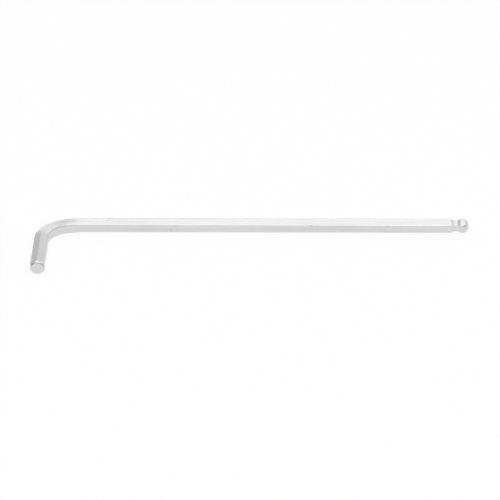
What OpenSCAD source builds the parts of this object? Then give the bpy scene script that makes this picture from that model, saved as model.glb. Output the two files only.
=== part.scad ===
// Ball-end hex key: one length of hexagonal steel bar, bent to an L.
// It lies flat: the long arm runs along +X, the short arm along -Y, and the floor is z = 0.
// The origin is under the middle of the key's outline.

/* [Bar] */
// Distance across the flats of the bar, and across the ball at its widest
across_flats = 6; // [4:0.5:10]
// Rounding radius of the bar's drawn corners
corner_r = 0.4; // [0.1:0.05:0.6]

/* [Arms] */
// Overall length of the long arm, from the back of the bend to the tip of the ball
long_arm = 186; // [100:1:260]
// Overall length of the short arm, from the back of the bend to its end face
short_arm = 37.6; // [30:0.2:70]

/* [Bend] */
// Radius of the bend at the middle of the bar
bend_r = 11.8; // [9:0.2:18]
// Radius of the gentle lead-in where the long arm starts to curve into the bend
lead_in_r = 50; // [25:1:80]
// How far the long arm has turned by the end of the lead-in
lead_in_angle = 10; // [4:1:16]

/* [Neck] */
// How deep the neck is cut below the flats of the bar
neck_depth = 0.72; // [0.4:0.02:1]
// Length of the neck's straight part, just behind the ball
neck_straight = 0.4; // [0.2:0.05:1]
// Radius of the hollow that sweeps from each flat of the bar down to the neck
neck_sweep_r = 5.8; // [3:0.1:8]

/* [Ball] */
// Radius of the blunt tip's flat face
tip_r = 1.3; // [0.8:0.05:1.6]
// How much the turning takes off the diameter over the ball's corners
ball_corner_trim = 0.1; // [0.04:0.02:0.3]
// How far the widest place across the flats lies ahead of the middle of the turned ball
widest_ahead = 0.3; // [0:0.05:0.5]
// How much longer the radius of the flats' arcs is than half the distance across the flats
flat_arc_extra = 1.2; // [0.2:0.1:2]
// How far back from the widest place the flats stay curved, as an angle of those arcs
flat_arc_angle = 12; // [4:1:16]
// Slope of the straight flanks that run from there down to the neck
flank_angle = 28; // [24:1:40]

/* [Short end] */
// How far inside the flats the end face stops
end_inset = 0.2; // [0.05:0.05:0.4]
// Slope of the end chamfer, measured from the arm's axis
end_chamfer_angle = 30; // [20:1:45]
// Rounding radius between the chamfer and the end face
end_edge_r = 0.35; // [0.1:0.05:0.6]

/* [Hidden] */
$fn = 64;

// Angle at which a rounded corner's arc leaves the straight sides
corner_kink = 10;

apothem = across_flats / 2;
sharp_corner = apothem / cos(30);
corner_reach = sharp_corner + corner_r * (1 - cos(corner_kink) / cos(30));
blank_r = sharp_corner + 1;

long_axis_y = short_arm / 2 - apothem;
short_axis_x = apothem - long_arm / 2;
lead_in_x = short_axis_x + bend_r + (lead_in_r - bend_r) * sin(lead_in_angle);
lead_in_y = long_axis_y - lead_in_r;
bend_x = short_axis_x + bend_r;
bend_y = lead_in_y + (lead_in_r - bend_r) * cos(lead_in_angle);
long_straight = long_arm / 2 - lead_in_x;
short_straight = bend_y + short_arm / 2;

// Along the arm, the neck and the ball are measured from the ball's root, where the neck ends
neck_h = apothem - neck_depth;
flat_arc_r = apothem + flat_arc_extra;
flank_h = apothem - flat_arc_r * (1 - cos(flat_arc_angle));
flank_length = (flank_h - neck_h) / tan(flank_angle);
widest_z = flank_length + flat_arc_r * sin(flat_arc_angle);
turned_z = widest_z - widest_ahead;
ball_r = corner_reach - ball_corner_trim / 2;
ball_length = turned_z + sqrt(pow(ball_r, 2) - pow(tip_r, 2));
root_z = long_straight - ball_length;

end_face_r = apothem - end_inset;
end_chamfer = (blank_r - end_face_r) / tan(end_chamfer_angle);

// What rounding takes off a corner: the apex is at the origin, pointing along +X, and
// half_turn is half the angle through which the outline turns there
module corner_waste(half_turn, r) {
    centre_x = -r * cos(corner_kink) / cos(half_turn);
    difference() {
        translate([centre_x + r * cos(half_turn), -r]) square(2 * r);
        translate([centre_x, 0]) circle(r = r);
    }
}

// Hexagon with rounded corners, one pair of corners up and down, the flats to the sides
module bar_section() {
    corners = [30:60:330];
    difference() {
        polygon([for (turn = corners) sharp_corner * [cos(turn), sin(turn)]]);
        for (turn = corners)
            rotate(turn) translate([sharp_corner, 0]) corner_waste(30, corner_r);
    }
}

// Outline of two opposite flats of the bar, seen along them, with the hollows of the neck
module neck_outline() {
    sweep_y = neck_h + sqrt(pow(neck_sweep_r, 2) - pow(neck_straight, 2));
    difference() {
        translate([-long_straight, -blank_r]) square([2 * long_straight, 2 * blank_r]);
        for (side = [-1, 1]) difference() {
            translate([0, side * sweep_y]) circle(r = neck_sweep_r);
            translate([-long_straight, -neck_h]) square([2 * long_straight, 2 * neck_h]);
        }
    }
}

// Outline of two opposite flats of the ball, seen along them: straight flanks that widen from
// the neck, then arcs over the widest place
module ball_flats_outline() {
    tip_h = neck_h + ball_length * tan(flank_angle);
    intersection() {
        polygon([[0, neck_h], [ball_length, tip_h], [ball_length, -tip_h], [0, -neck_h]]);
        translate([widest_z, -flat_arc_extra]) circle(r = flat_arc_r);
        translate([widest_z, flat_arc_extra]) circle(r = flat_arc_r);
    }
}

// Half outline of the ball as turned, with its blunt tip
module turned_outline() {
    intersection() {
        square([blank_r, ball_length]);
        translate([0, turned_z]) circle(r = ball_r);
    }
}

// The space between two opposite flats with a given outline, turned about the arm to its place
module between_flats(turn) {
    rotate([turn, 0, 0]) translate([0, 0, -blank_r])
        linear_extrude(height = 2 * blank_r) children();
}

// Straight arm down to the root of the ball, along +X from the end of the bend
module long_bar() {
    intersection() {
        rotate([90, 0, 90]) linear_extrude(height = root_z) bar_section();
        translate([root_z, 0, 0]) between_flats(0) neck_outline();
        translate([root_z, 0, 0]) between_flats(60) neck_outline();
        translate([root_z, 0, 0]) between_flats(120) neck_outline();
    }
}

// Ball end: a turned ball with six flats, each curved along the arm so that the key can tilt
module ball() {
    translate([root_z, 0, 0]) intersection() {
        rotate([0, 90, 0]) rotate_extrude() turned_outline();
        between_flats(0) ball_flats_outline();
        between_flats(60) ball_flats_outline();
        between_flats(120) ball_flats_outline();
    }
}

// Part of a turn of the bar, its centre at the origin: start and angle count from +X
module curved_bar(r, start, angle) {
    rotate_extrude(angle = angle, start = start) translate([r, 0]) bar_section();
}

// A move along the floor in a coarse and a fine step, so that the pieces of the bar meet exactly
module at(x, y) {
    coarse = [round(x * 1000) / 1000, round(y * 1000) / 1000];
    translate(coarse) translate([x, y] - coarse) children();
}

// Half outline of the short end: a steep chamfer on the corners, rounded into a flat face
module end_outline() {
    difference() {
        polygon([
            [0, 0],
            [blank_r, 0],
            [blank_r, short_straight - end_chamfer],
            [end_face_r, short_straight],
            [0, short_straight]
        ]);
        translate([end_face_r, short_straight]) rotate((90 + end_chamfer_angle) / 2)
            corner_waste((90 - end_chamfer_angle) / 2, end_edge_r);
    }
}

// Straight arm with the chamfered end, along -Y from the end of the bend
module short_bar() {
    rotate([90, 0, 0]) intersection() {
        linear_extrude(height = short_straight) bar_section();
        rotate_extrude() end_outline();
    }
}

module hex_key() {
    color([0.82, 0.83, 0.84]) translate([0, 0, corner_reach]) union() {
        at(lead_in_x, long_axis_y) long_bar();
        at(lead_in_x, long_axis_y) ball();
        at(lead_in_x, lead_in_y) curved_bar(lead_in_r, 90, lead_in_angle);
        at(bend_x, bend_y) curved_bar(bend_r, 90 + lead_in_angle, 90 - lead_in_angle);
        at(short_axis_x, bend_y) short_bar();
    }
}

hex_key();
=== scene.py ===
import math

import bpy
from mathutils import Matrix, Vector


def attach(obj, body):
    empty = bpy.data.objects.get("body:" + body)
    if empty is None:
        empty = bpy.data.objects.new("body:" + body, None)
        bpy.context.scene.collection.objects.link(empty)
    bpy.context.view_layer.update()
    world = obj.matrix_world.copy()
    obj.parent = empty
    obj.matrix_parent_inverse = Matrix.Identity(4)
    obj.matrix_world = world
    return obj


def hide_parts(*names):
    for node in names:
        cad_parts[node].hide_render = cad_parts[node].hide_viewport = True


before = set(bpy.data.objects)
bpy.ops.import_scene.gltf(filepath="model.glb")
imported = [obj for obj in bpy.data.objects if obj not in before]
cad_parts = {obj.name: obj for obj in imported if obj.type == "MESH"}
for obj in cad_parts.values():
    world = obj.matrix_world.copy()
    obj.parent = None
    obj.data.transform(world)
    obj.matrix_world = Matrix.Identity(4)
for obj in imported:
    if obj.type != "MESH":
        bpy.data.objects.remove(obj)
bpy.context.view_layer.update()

mm = 0.001


# small helpers for building node trees

def wire(tree, value, place):
    if isinstance(value, Sum):
        value = value.socket
    if isinstance(value, bpy.types.NodeSocket):
        tree.links.new(value, place)
    else:
        place.default_value = value


def addNode(tree, kind, inputs=None, **settings):
    made = tree.nodes.new(kind)
    for name, value in settings.items():
        setattr(made, name, value)
    for name, value in (inputs or {}).items():
        wire(tree, value, made.inputs[name])
    return made


class Sum:  # wraps a socket, so that a row of Math nodes can be written as an ordinary sum
    def __init__(self, tree, socket):
        self.tree, self.socket = tree, socket

    def calc(self, operation, *values):
        made = addNode(self.tree, "ShaderNodeMath", operation=operation)
        for place, value in zip(made.inputs, values):
            wire(self.tree, value, place)
        return Sum(self.tree, made.outputs[0])

    def __add__(self, other):
        return self.calc("ADD", self, other)

    def __radd__(self, other):
        return self.calc("ADD", other, self)

    def __sub__(self, other):
        return self.calc("SUBTRACT", self, other)

    def __rsub__(self, other):
        return self.calc("SUBTRACT", other, self)

    def __mul__(self, other):
        return self.calc("MULTIPLY", self, other)

    def __rmul__(self, other):
        return self.calc("MULTIPLY", other, self)

    def __truediv__(self, other):
        return self.calc("DIVIDE", self, other)


def sine(a):
    return a.calc("SINE", a)


def cosine(a):
    return a.calc("COSINE", a)


def tangent(a):
    return a.calc("TANGENT", a)


def squareRoot(a):
    return a.calc("SQRT", a)


def arcCosine(a):
    return a.calc("ARCCOSINE", a)


def arcTangent(a):
    return a.calc("ARCTANGENT", a)


def wholePart(a):
    return a.calc("FLOOR", a)


def size(a):
    return a.calc("ABSOLUTE", a)


def smaller(a, b):
    return a.calc("MINIMUM", a, b)


def larger(a, b):
    return a.calc("MAXIMUM", a, b)


def isOver(a, b):  # 1 where a is over b, else 0
    return a.calc("GREATER_THAN", a, b)


def share(a, whole):  # a / whole, held between 0 and 1
    return smaller(larger(a / whole, 0.0), 1.0)


def pick(chooser, whenOne, whenZero):
    return whenZero + (whenOne - whenZero) * chooser


# camera

cameraSetup = {
    "aim": (-0.0011, 0.0158, 0.003409),    # on the long arm, near its middle
    "azimuth": 0.23,       # degrees round from the front
    "elevation": 32.27,    # degrees above the bench
    "distance": 1.0,
    "lift": -0.01061,      # how far the camera moves up in its own frame
    "lens": 167.04,
    "sensor": 36,
}


def makeCamera(setup):
    turn, rise = math.radians(setup["azimuth"]), math.radians(setup["elevation"])
    level = math.cos(rise)
    back = Vector((math.sin(turn) * level, -math.cos(turn) * level, math.sin(rise)))
    right = Vector((math.cos(turn), math.sin(turn), 0))
    up = back.cross(right)
    data = bpy.data.cameras.new("camera")
    data.lens = setup["lens"]
    data.sensor_width = setup["sensor"]
    camera = bpy.data.objects.new("camera", data)
    bpy.context.scene.collection.objects.link(camera)
    place = Vector(setup["aim"]) + back * setup["distance"] + up * setup["lift"]
    axes = Matrix((right, up, back)).transposed()
    camera.matrix_world = Matrix.Translation(place) @ axes.to_4x4()
    bpy.context.scene.camera = camera


makeCamera(cameraSetup)
print("camera set")

# bench and studio light

studio = {
    "floorHalf": 3.0,
    "floorColour": 0.95,
    "floorWhitening": 0.95,     # how far the bench is lifted to plain white where it is seen
    "mirrorWhitening": 0.84,    # the same where the steel mirrors it
    "roomLevel": 0.84,          # plain level of the room overhead
    "roomSideways": 0.2,        # how much brighter the right is than the left
    "roomSideFall": 0.2,        # how much the room falls off towards both sides
    "roomBackLift": 0.18,       # how much brighter the upper part of the wall behind is
    "backLiftFrom": 0.45,       # height at which that starts, as the upward part of a direction
    "backBlend": 0.3,           # how gradually it comes in towards the back
    "roomFrontDark": 0.38,      # how much is missing from the room in front, under the softbox
    "frontDarkTop": 0.6,        # height at which that ends
    "frontDarkFrom": 0.2,       # how far forward it starts
    "frontBlend": 0.4,          # how gradually it comes in towards the front
    "heightBlend": 0.15,        # the same upwards, for both
    "softboxWidth": 2.4,
    "softboxDepth": 1.4,
    "softboxHeight": 1.3,
    "softboxBack": 0.03,        # its back edge is nearly above the key, the rest is in front
    "softboxLevel": 0.58,       # brightness of its face, where 1 is white
}


def makeFloor(setup):
    half = setup["floorHalf"]
    corners = [(-half, -half, 0), (half, -half, 0), (half, half, 0), (-half, half, 0)]
    mesh = bpy.data.meshes.new("benchTop")
    mesh.from_pydata(corners, [], [(0, 1, 2, 3)])
    floor = bpy.data.objects.new("benchTop", mesh)
    bpy.context.scene.collection.objects.link(floor)
    material = bpy.data.materials.new("paleBench")
    material.use_nodes = True
    tree = material.node_tree
    tree.nodes.clear()
    tone = setup["floorColour"]
    bench = addNode(tree, "ShaderNodeBsdfDiffuse", {"Color": (tone, tone, tone, 1)})
    white = addNode(tree, "ShaderNodeEmission", {"Color": (1, 1, 1, 1), "Strength": 1.0})
    ray = addNode(tree, "ShaderNodeLightPath")
    mirrored = larger(Sum(tree, ray.outputs["Is Glossy Ray"]), ray.outputs["Is Transmission Ray"])
    seen = Sum(tree, ray.outputs["Is Camera Ray"]) * setup["floorWhitening"]
    lifted = seen + mirrored * setup["mirrorWhitening"]
    blend = addNode(tree, "ShaderNodeMixShader", {"Fac": lifted})
    wire(tree, bench.outputs[0], blend.inputs[1])
    wire(tree, white.outputs[0], blend.inputs[2])
    addNode(tree, "ShaderNodeOutputMaterial", {"Surface": blend.outputs[0]})
    mesh.materials.append(material)


def makeRoom(setup):
    world = bpy.data.worlds.new("room")
    world.use_nodes = True
    bpy.context.scene.world = world
    tree = world.node_tree
    tree.nodes.clear()
    direction = addNode(tree, "ShaderNodeTexCoord").outputs["Generated"]
    split = addNode(tree, "ShaderNodeSeparateXYZ", {"Vector": direction})
    sideways = Sum(tree, split.outputs["X"])
    back, up = Sum(tree, split.outputs["Y"]), Sum(tree, split.outputs["Z"])
    behind = share(back, setup["backBlend"]) * share(
        up - setup["backLiftFrom"], setup["heightBlend"])
    inFront = share(back + setup["frontDarkFrom"], -setup["frontBlend"]) * share(
        setup["frontDarkTop"] - up, setup["heightBlend"])
    level = (setup["roomLevel"] + sideways * setup["roomSideways"]
             - sideways * sideways * setup["roomSideFall"]
             + behind * setup["roomBackLift"] - inFront * setup["roomFrontDark"])
    background = addNode(
        tree, "ShaderNodeBackground", {"Color": (1, 1, 1, 1), "Strength": level})
    addNode(tree, "ShaderNodeOutputWorld", {"Surface": background.outputs[0]})


def makeSoftbox(setup):
    data = bpy.data.lights.new("softbox", "AREA")
    data.shape = "RECTANGLE"
    data.size, data.size_y = setup["softboxWidth"], setup["softboxDepth"]
    data.energy = setup["softboxLevel"] * math.pi * data.size * data.size_y
    softbox = bpy.data.objects.new("softbox", data)
    middle = setup["softboxBack"] - setup["softboxDepth"] / 2
    softbox.location = (0, middle, setup["softboxHeight"])
    bpy.context.scene.collection.objects.link(softbox)


makeFloor(studio)
makeRoom(studio)
makeSoftbox(studio)
print("bench and light set")

# plated steel

plating = {
    "tone": 0.69,
    "highlightAndRubTone": 0.72,        # along the corners: painted highlight, and the bright rub of hands and screws
    "dullTone": 0.42,             # in scratches and nicks
    "paintedShadeTone": 0.2,             # painted shade: a dark line round the upper edge of the end face, and along the crease inside the bend
    "endShadeStrength": 0.9,
    "creaseShadeStrength": 0.45,
    "roughness": 0.2,
    "burnishedRoughness": 0.15,
    "dullRoughness": 0.42,
    "cornerBandWidth": 0.4 * mm,
    "cloudSize": 8 * mm,          # slow drift of tone over the plate
    "cloudTone": 0.05,            # how far each pattern shifts the tone or the roughness
    "cloudRoughness": 0.05,
    "rippleSize": 0.8 * mm,       # the plate's own faint ripple
    "rippleHeight": 0.0012 * mm,
    "streakTone": 0.035,
    "bandTone": 0.05,
    "streakRoughness": 0.06,
    "drawnHeight": 0.0007 * mm,
    "turnedHeight": 0.0014 * mm,
    "scratchDull": 0.6,           # how far a scratch takes on the dull look
    "scratchDepth": 0.002 * mm,
    "pitStrength": 0.4,           # a pit against a knock
    "nickDepth": 0.012 * mm,
}
drawnLines = {"Line length": 14 * mm, "Line width": 0.13 * mm}    # run along the bar
drawnBands = {"Line length": 40 * mm, "Line width": 0.9 * mm}     # the same, broad and faint
turnedLines = {"Line length": 25 * mm, "Line width": 0.1 * mm}    # run round what was cut
hairlines = {"Line length": 4 * mm, "Line width": 0.11 * mm, "Rarity": 0.74}
hairlineLean = 0.3    # how far these fine scratches lean off the bar's own direction
pits = {"Line length": 0.5 * mm, "Line width": 0.42 * mm, "Rarity": 0.79}
# knocks: place along the bar, counted from 3.6 mm behind the tip, place round it, and size
nicks = [
    {"At along": -124.4 * mm, "At across": 9.9 * mm, "Length": 0.45 * mm, "Width": 0.24 * mm},
    {"At along": -64.4 * mm, "At across": 7.75 * mm, "Length": 0.4 * mm, "Width": 0.22 * mm},
    {"At along": -31.4 * mm, "At across": 7.85 * mm, "Length": 0.45 * mm, "Width": 0.24 * mm},
    {"At along": -151.0 * mm, "At across": 4.7 * mm, "Length": 0.45 * mm, "Width": 0.25 * mm},
    {"At along": -99.0 * mm, "At across": 14.1 * mm, "Length": 0.7 * mm, "Width": 0.2 * mm},
]


def makeGroup(name, given, outputs):
    tree = bpy.data.node_groups.new(name, "ShaderNodeTree")
    for label in given:
        tree.interface.new_socket(label, in_out="INPUT", socket_type="NodeSocketFloat")
    for label in outputs:
        tree.interface.new_socket(label, in_out="OUTPUT", socket_type="NodeSocketFloat")
    start = addNode(tree, "NodeGroupInput")
    return tree, [Sum(tree, start.outputs[label]) for label in given]


def useGroup(tree, group, inputs):
    made = addNode(tree, "ShaderNodeGroup", inputs, node_tree=group)
    return [Sum(tree, output) for output in made.outputs]


def ovalMark(alongShare, acrossShare):    # 1 in the middle of an oval, 0 at its edge
    return share(1 - squareRoot(alongShare * alongShare + acrossShare * acrossShare), 0.5)


def makeLineGroup():    # one pattern of lines, used for lines, bands, scratches and pits
    tree, (along, across, length, width, rarity) = makeGroup(
        "fineLines", ["Along", "Across", "Line length", "Line width", "Rarity"],
        ["Height", "Streak", "Rare"])
    place = addNode(tree, "ShaderNodeCombineXYZ", {"X": along / length, "Y": across / width})
    noise = addNode(tree, "ShaderNodeTexNoise", {
        "Vector": place.outputs[0], "Scale": 1.0, "Detail": 3.0, "Roughness": 0.6},
        noise_dimensions="2D")
    level = Sum(tree, noise.outputs["Fac"])
    addNode(tree, "NodeGroupOutput", {
        "Height": level - 0.5,
        "Streak": share(level - 0.35, 0.3),    # the middle of the noise, spread from 0 to 1
        "Rare": share(level - rarity, 0.04)})    # only its peaks, with a narrow soft edge
    return tree


def makeNickGroup():    # one mark at a place of its own
    tree, (along, across, atAlong, atAcross, length, width) = makeGroup(
        "singleNick", ["Along", "Across", "At along", "At across", "Length", "Width"], ["Mark"])
    mark = ovalMark((along - atAlong) / length, (across - atAcross) / width)
    addNode(tree, "NodeGroupOutput", {"Mark": mark})
    return tree


def makePlatedSteel(setup):
    material = bpy.data.materials.new("platedSteel")
    material.use_nodes = True
    tree = material.node_tree
    shader = tree.nodes["Principled BSDF"]
    shader.inputs["Metallic"].default_value = 1.0

    place = addNode(tree, "ShaderNodeAttribute", attribute_name="alongBar")
    split = addNode(tree, "ShaderNodeSeparateXYZ", {"Vector": place.outputs["Vector"]})
    along, across, wasCut = (Sum(tree, split.outputs[axis]) for axis in "XYZ")
    where = {"Along": along, "Across": across}
    # nearness to a corner (painted highlight and rub), and the masks of painted shade along the
    # bend's crease and the end face's upper edge
    shadeAndWear = addNode(tree, "ShaderNodeAttribute", attribute_name="shadeAndWearPlaces")
    split = addNode(tree, "ShaderNodeSeparateXYZ", {"Vector": shadeAndWear.outputs["Vector"]})
    fromCorner, creaseShadeMask, endShadeMask = (Sum(tree, split.outputs[axis]) for axis in "XYZ")
    coordinates = addNode(tree, "ShaderNodeTexCoord").outputs["Object"]

    # drawn lines along the bar, and cutting marks round it where it was turned or ground
    lineGroup, nickGroup = makeLineGroup(), makeNickGroup()
    drawnHeight, drawnStreak = useGroup(tree, lineGroup, {**where, **drawnLines})[:2]
    band = useGroup(tree, lineGroup, {**where, **drawnBands})[1]
    turnedHeight, turnedStreak = useGroup(
        tree, lineGroup, {"Along": across, "Across": along, **turnedLines})[:2]
    streak = pick(wasCut, turnedStreak, drawnStreak)
    lines = pick(wasCut, turnedHeight * setup["turnedHeight"], drawnHeight * setup["drawnHeight"])

    # the plate's slow drift of tone and its ripple
    cloud = Sum(tree, addNode(tree, "ShaderNodeTexNoise", {
        "Vector": coordinates, "Scale": 1 / setup["cloudSize"], "Detail": 2.0}).outputs["Fac"])
    ripple = Sum(tree, addNode(tree, "ShaderNodeTexNoise", {
        "Vector": coordinates, "Scale": 1 / setup["rippleSize"], "Detail": 1.0}).outputs["Fac"])

    # wear, and a painted highlight along the corners
    leaning = {
        "Along": along + across * hairlineLean, "Across": across - along * hairlineLean}
    scratch = useGroup(tree, lineGroup, {**leaning, **hairlines})[2]
    pit = useGroup(tree, lineGroup, {**where, **pits})[2]
    nick = pit * setup["pitStrength"]
    for knock in nicks:
        nick = larger(nick, useGroup(tree, nickGroup, {**where, **knock})[0])
    dull = larger(scratch * setup["scratchDull"], nick)
    highlightAndRub = 1 - share(fromCorner, setup["cornerBandWidth"])

    # lighter along the corners: painted highlight, together with the bright rub of hands and
    # screws
    clean = (setup["tone"] + highlightAndRub * (setup["highlightAndRubTone"] - setup["tone"])
             + (cloud - 0.5) * setup["cloudTone"] + (streak - 0.5) * setup["streakTone"]
             + (band - 0.5) * (1 - wasCut) * setup["bandTone"])
    # painted shade, laid over the steel's tone: a dark line round the upper edge of the end face
    # and along the crease inside the bend
    paintedShade = larger(endShadeMask * setup["endShadeStrength"], creaseShadeMask * setup["creaseShadeStrength"])
    tone = pick(paintedShade, setup["paintedShadeTone"], pick(dull, setup["dullTone"], clean))
    colour = addNode(tree, "ShaderNodeCombineColor", {"Red": tone, "Green": tone, "Blue": tone})
    wire(tree, colour.outputs[0], shader.inputs["Base Color"])
    even = (setup["roughness"] + highlightAndRub * (setup["burnishedRoughness"] - setup["roughness"])
            + (cloud - 0.5) * setup["cloudRoughness"] + (streak - 0.5) * setup["streakRoughness"])
    wire(tree, pick(dull, setup["dullRoughness"], even), shader.inputs["Roughness"])
    height = (lines + ripple * setup["rippleHeight"] - scratch * setup["scratchDepth"]
              - nick * setup["nickDepth"])
    bump = addNode(tree, "ShaderNodeBump", {"Height": height, "Strength": 1.0, "Distance": 1.0})
    wire(tree, bump.outputs[0], shader.inputs["Normal"])
    return material


platedSteel = makePlatedSteel(plating)

# the key: one bar, drawn as an outline and wrapped round its path

keySizes = {
    "Across flats": 5.96 * mm,    # a hair under the part's 6 mm, so that corners
    "Corner radius": 0.22 * mm,   # this crisp stay inside its box
    "Axis height": 3.409 * mm,
    "Long arm": 186 * mm,
    "Short arm": 37.6 * mm,
    "Bend radius": 11.8 * mm,
    "Lead-in radius": 50 * mm,
    "Lead-in angle": math.radians(10),
    "Bend swell": 0.11,      # how much thicker the bar is on the inside of the bend, as a share
    "Neck depth": 0.72 * mm,
    "Neck straight": 0.4 * mm,
    "Neck sweep radius": 5.8 * mm,
    "Tip radius": 1.3 * mm,
    "Ball corner trim": 0.1 * mm,
    "Widest ahead": 0.3 * mm,
    "Flat arc extra": 1.2 * mm,
    "Flat arc angle": math.radians(12),
    "Flank angle": math.radians(28),
    "End inset": 0.2 * mm,
    "End chamfer angle": math.radians(30),
    "End edge radius": 0.35 * mm,
    "Edge softness": 0.04 * mm,
}

# rows of faces along the bar, from the short end's face to the tip
keyRows = {
    "endFace": 14, "endRounding": 10, "endChamfer": 30, "shortArm": 20, "bend": 80, "leadIn": 16,
    "longArm": 44, "hollow": 60, "neck": 6, "flank": 26, "ball": 100, "tip": 12,
}
flatColumns = 6      # columns from the middle of a face to its edge
cornerColumns = 5    # columns from there to the corner
columnLimits = math.radians(12), math.radians(29.2)    # where that edge column may lie

swellRamps = {"early": 3 * mm, "in": 10 * mm, "out": 12 * mm}    # starts early, rises, dies away
ridgeWidth = 0.3 * mm    # of the crease inside the bend
noCornerDistance = 1 * mm        # counts as this far from a corner where there is none
tiny = 0.0001 * mm


def startTree(name, sizes):
    tree = bpy.data.node_groups.new(name, "GeometryNodeTree")
    panel = tree.interface
    panel.new_socket("Geometry", in_out="INPUT", socket_type="NodeSocketGeometry")
    for label in sizes:
        made = panel.new_socket(label, in_out="INPUT", socket_type="NodeSocketFloat")
        made.subtype = "DISTANCE"
        if label.endswith("angle"):
            made.subtype = "ANGLE"
        elif label.endswith("swell"):
            made.subtype = "NONE"
    panel.new_socket("Finish", in_out="INPUT", socket_type="NodeSocketMaterial")
    panel.new_socket("Geometry", in_out="OUTPUT", socket_type="NodeSocketGeometry")
    return tree, addNode(tree, "NodeGroupInput")


def makeKeyTree(sizes, rows):
    tree, given = startTree("hexKeyShape", sizes)
    inputs = {label: Sum(tree, given.outputs[label]) for label in sizes}
    corner30 = math.radians(30)

    halfFlats = inputs["Across flats"] / 2
    cornerRadius = inputs["Corner radius"]
    cornerReach = halfFlats / math.cos(corner30) - cornerRadius * (1 / math.cos(corner30) - 1)
    outside = cornerReach + 0.15 * mm     # clear of the corners

    # the path: short arm, bend, a gentler lead-in, long arm, as lengths from the short end's face
    bendRadius, leadRadius = inputs["Bend radius"], inputs["Lead-in radius"]
    leadTurn = inputs["Lead-in angle"]
    bendTurn = math.pi / 2 - leadTurn
    radiusStep = leadRadius - bendRadius
    bendX = inputs["Long arm"] / -2 + halfFlats + bendRadius
    bendY = inputs["Short arm"] / 2 - halfFlats - leadRadius + radiusStep * cosine(leadTurn)
    shortStraight = bendY + inputs["Short arm"] / 2
    longStraight = inputs["Long arm"] / 2 - bendX - radiusStep * sine(leadTurn)
    bendEnd = shortStraight + bendRadius * bendTurn
    leadEnd = bendEnd + leadRadius * leadTurn
    tipStation = leadEnd + longStraight

    # the ball, measured from its root
    neckHeight = halfFlats - inputs["Neck depth"]
    arcExtra = inputs["Flat arc extra"]
    arcRadius = halfFlats + arcExtra
    arcAngle = inputs["Flat arc angle"]
    flankSlope = tangent(inputs["Flank angle"])
    flankHeight = halfFlats - arcRadius * (1 - cosine(arcAngle))
    flankLength = (flankHeight - neckHeight) / flankSlope
    widestPart = flankLength + arcRadius * sine(arcAngle)
    turnedMiddle = widestPart - inputs["Widest ahead"]
    tipRadius = inputs["Tip radius"]
    ballRadius = cornerReach - inputs["Ball corner trim"] / 2
    ballLength = turnedMiddle + squareRoot(ballRadius * ballRadius - tipRadius * tipRadius)
    rootStation = tipStation - ballLength
    ballStart = arcCosine((flankLength - turnedMiddle) / ballRadius)
    ballEnd = arcCosine((ballLength - turnedMiddle) / ballRadius)

    # the hollow of the neck
    sweepRadius = inputs["Neck sweep radius"]
    neckStraight = inputs["Neck straight"]
    sweepHeight = neckHeight + squareRoot(sweepRadius * sweepRadius - neckStraight * neckStraight)
    shoulder = sweepHeight - halfFlats
    hollowBack = squareRoot(sweepRadius * sweepRadius - shoulder * shoulder)

    # the short end: face, rounded edge and chamfer
    faceRadius = halfFlats - inputs["End inset"]
    chamfer = inputs["End chamfer angle"]
    edgeRadius = inputs["End edge radius"]
    edgeCut = edgeRadius * tangent((math.pi / 2 - chamfer) / 2)
    chamferLength = (outside - faceRadius) / sine(chamfer) - edgeCut
    chamferEnd = (outside - faceRadius) / tangent(chamfer)

    totalRows = sum(rows.values())
    perFace = 2 * (flatColumns + cornerColumns)
    columns = 6 * perFace
    grid = addNode(tree, "GeometryNodeMeshGrid", {
        "Size X": 1.0, "Size Y": 1.0, "Vertices X": columns + 1, "Vertices Y": totalRows + 1})
    index = Sum(tree, addNode(tree, "GeometryNodeInputIndex").outputs[0])
    column = wholePart((index + 0.5) / (totalRows + 1))
    row = index - column * (totalRows + 1)

    # walk the rows from the middle of the end face to the middle of the tip
    firstRow, passed = {}, 0
    for name, count in rows.items():
        firstRow[name] = passed
        passed += count

    def along(name):
        return share(row - firstRow[name], rows[name])

    def eased(name):      # rows crowd towards both ends
        return (1 - cosine(along(name) * math.pi)) / 2

    edgeTurn = (math.pi / 2 - chamfer) * along("endRounding")
    ballTurn = ballStart + (ballEnd - ballStart) * along("ball")
    station = (
        edgeRadius * (1 - cosine(edgeTurn))
        + chamferLength * cosine(chamfer) * eased("endChamfer")
        + (shortStraight - chamferEnd) * eased("shortArm")
        + (bendEnd - shortStraight) * along("bend")
        + (leadEnd - bendEnd) * along("leadIn")
        + (rootStation - hollowBack - leadEnd) * eased("longArm")
        + (hollowBack - neckStraight) * eased("hollow")
        + neckStraight * along("neck")
        + flankLength * eased("flank")
        + (cosine(ballTurn) - cosine(ballStart)) * ballRadius)
    endReach = (
        (faceRadius - edgeCut) * along("endFace")
        + edgeRadius * sine(edgeTurn)
        + chamferLength * sine(chamfer) * eased("endChamfer"))
    fromTurned = station - rootStation - turnedMiddle
    onBall = isOver(station, rootStation)
    ballReach = squareRoot(larger(ballRadius * ballRadius - fromTurned * fromTurned, 0.0))
    tipReach = tipRadius * (1 - along("tip"))
    ballReach = pick(isOver(row, firstRow["tip"] + 0.5), tipReach, ballReach)
    turned = pick(onBall, ballReach, endReach)

    # distance from the middle of the bar to its flats
    fromRoot = station - rootStation
    hollow = sweepHeight - squareRoot(
        larger(sweepRadius * sweepRadius - fromRoot * fromRoot, 0.0))
    barFlats = smaller(larger(hollow, neckHeight), halfFlats)
    fromWidest = fromRoot - widestPart
    arcFlats = squareRoot(
        larger(arcRadius * arcRadius - fromWidest * fromWidest, 0.0)) - arcExtra
    ballFlats = smaller(neckHeight + fromRoot * flankSlope, arcFlats)
    flats = pick(onBall, ballFlats, barFlats)

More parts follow.
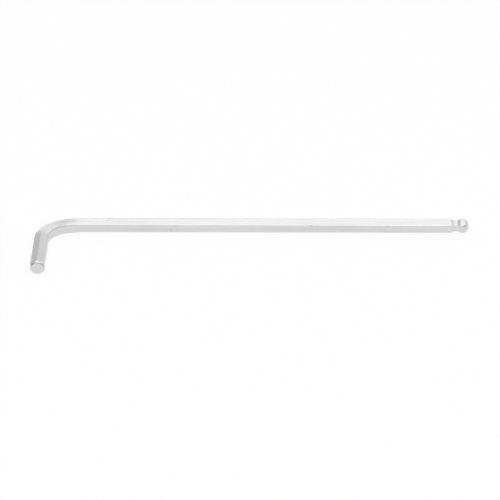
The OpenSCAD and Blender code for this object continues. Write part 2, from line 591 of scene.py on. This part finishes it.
    # angle from the middle of a face to its edge, which one column follows
    roundMiddle = (halfFlats - cornerRadius) / math.cos(corner30)
    intoCorner = flats - halfFlats + cornerRadius
    edgeSide = roundMiddle / 2 + squareRoot(
        larger(cornerRadius * cornerRadius - intoCorner * intoCorner, 0.0))
    turnedEdge = arcCosine(smaller(flats / larger(turned, 0.01 * mm), 1.0))
    edgeAngle = smaller(pick(onBall, turnedEdge, arcTangent(edgeSide / flats)), turnedEdge)
    columnAngle = smaller(larger(edgeAngle, columnLimits[0]), columnLimits[1])

    face = wholePart((column + 0.5) / perFace)
    across = column - face * perFace
    fromMiddle = perFace / 2 - size(across - perFace / 2)
    onFlat = share(fromMiddle, flatColumns)
    onCorner = share(fromMiddle - flatColumns, cornerColumns)
    offMiddle = columnAngle * sine(onFlat * (math.pi / 2)) + (corner30 - columnAngle) * onCorner
    pastCorner = isOver(across, perFace / 2)
    turn = face * math.radians(60) + pick(pastCorner, math.radians(60) - offMiddle, offMiddle)

    # the hexagon, the bar's rounded corners, then the turned outline, with a soft edge between
    toCorner = corner30 - offMiddle
    side = roundMiddle * sine(toCorner)
    roundReach = roundMiddle * cosine(toCorner) + squareRoot(
        larger(cornerRadius * cornerRadius - side * side, 0.0))
    roundStart = arcTangent(roundMiddle / 2 / halfFlats)
    onRound = isOver(offMiddle, roundStart) * (1 - onBall)
    hexagon = smaller(flats / cosine(offMiddle), pick(onRound, roundReach, outside))
    soft = inputs["Edge softness"]
    near = larger(soft - size(turned - hexagon), 0.0) / soft
    reach = smaller(turned, hexagon) - near * near * soft / 4

    # wrap it round the L
    bent = share(station - shortStraight, bendEnd - shortStraight) * bendTurn
    facing = bent + share(station - bendEnd, leadEnd - bendEnd) * leadTurn
    swellIn = share(station - shortStraight + swellRamps["early"], swellRamps["in"])
    swellOut = share(leadEnd - station, swellRamps["out"])
    swell = ((1 - cosine(swellIn * math.pi)) / 2) * ((1 - cosine(swellOut * math.pi)) / 2)
    outwards = bendRadius + reach * cosine(turn)
    x = (bendX - outwards * cosine(facing) + radiusStep * (cosine(bent) - cosine(facing))
         + larger(station - leadEnd, 0.0))
    y = (bendY + outwards * sine(facing) + radiusStep * (sine(facing) - sine(bent))
         + smaller(station - shortStraight, 0.0))
    thicker = 1 - swell * inputs["Bend swell"] * reach * cosine(turn) / halfFlats
    z = inputs["Axis height"] + reach * sine(turn) * thicker
    place = addNode(tree, "ShaderNodeCombineXYZ", {"X": x, "Y": y, "Z": z})

    # what the finish follows: place along the surface, zero 3.6 mm behind the tip, place round
    # the bar, nearness to a corner, and where the bar was cut after it was drawn
    isRound = isOver(hexagon, turned)    # turned or faced places have no corners, so no corner highlight or rub
    wasCut = larger(isRound, isOver(halfFlats * 0.9999, flats))
    fromTip = station - tipStation + endReach + tipRadius * along("tip")
    surface = addNode(tree, "ShaderNodeCombineXYZ", {
        "X": fromTip, "Y": turn * halfFlats, "Z": wasCut})
    # worked out per point, because rows and columns are counted by point, and kept per face
    # corner, so the place where the turn closes stays sharp
    atPoint = addNode(tree, "GeometryNodeFieldOnDomain", {"Value": surface.outputs[0]},
                      data_type="FLOAT_VECTOR", domain="POINT")
    kept = addNode(tree, "GeometryNodeStoreNamedAttribute", {
        "Geometry": grid.outputs["Mesh"], "Name": "alongBar", "Value": atPoint.outputs[0]},
        data_type="FLOAT_VECTOR", domain="CORNER")
    # painted shade along the crease inside the bend, on the ridge where the bar swells
    onRidge = 1 - share(size(toCorner) * halfFlats, ridgeWidth)
    creaseShadeMask = swell * onRidge * isOver(cosine(turn) * -1, 0.6)
    # painted shade round the end face's rounded edge, on its upper half only
    endShadeMask = 1 - size(along("endRounding") * 2 - 1)
    endShadeMask = endShadeMask * share(sine(turn) + 0.3, 0.6)
    # nearness to a corner, which carries the painted highlight and the rubbed look
    fromCorner = size(toCorner) * halfFlats + isRound * noCornerDistance
    shadeAndWear = addNode(tree, "ShaderNodeCombineXYZ", {"X": fromCorner, "Y": creaseShadeMask, "Z": endShadeMask})
    kept = addNode(tree, "GeometryNodeStoreNamedAttribute", {
        "Geometry": kept.outputs[0], "Name": "shadeAndWearPlaces", "Value": shadeAndWear.outputs[0]},
        data_type="FLOAT_VECTOR", domain="POINT")
    wrapped = addNode(tree, "GeometryNodeSetPosition", {
        "Geometry": kept.outputs[0], "Position": place.outputs[0]})
    merged = addNode(tree, "GeometryNodeMergeByDistance", {
        "Geometry": wrapped.outputs[0], "Distance": tiny})
    smooth = addNode(tree, "GeometryNodeSetShadeSmooth", {
        "Geometry": merged.outputs[0], "Shade Smooth": True})
    real = addNode(tree, "GeometryNodeRealizeInstances", {"Geometry": smooth.outputs[0]})
    painted = addNode(tree, "GeometryNodeSetMaterial", {
        "Geometry": real.outputs[0], "Material": given.outputs["Finish"]})
    addNode(tree, "NodeGroupOutput", {"Geometry": painted.outputs[0]})
    return tree


def growPiece(name, tree, sizes, finish):
    holder = bpy.data.objects.new(name + "Start", bpy.data.meshes.new(name + "Start"))
    bpy.context.scene.collection.objects.link(holder)
    modifier = holder.modifiers.new("shape", "NODES")
    modifier.node_group = tree
    for socket in tree.interface.items_tree:
        if socket.in_out == "INPUT" and socket.name in sizes:
            modifier[socket.identifier] = float(sizes[socket.name])
        elif socket.in_out == "INPUT" and socket.name == "Finish":
            modifier[socket.identifier] = finish
    holder.update_tag()
    bpy.context.view_layer.update()
    ready = bpy.context.evaluated_depsgraph_get()
    mesh = bpy.data.meshes.new_from_object(
        holder.evaluated_get(ready), preserve_all_data_layers=True, depsgraph=ready)
    holder.modifiers.remove(modifier)
    bpy.data.objects.remove(holder)
    mesh.name = name
    piece = bpy.data.objects.new(name, mesh)
    bpy.context.scene.collection.objects.link(piece)
    return piece


keyTree = makeKeyTree(keySizes, keyRows)
key = growPiece("ballEndKey", keyTree, keySizes, platedSteel)
print("key grown: %d faces" % len(key.data.polygons))

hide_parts("hex_key")
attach(key, "root")

bpy.context.scene.view_settings.view_transform = "Standard"
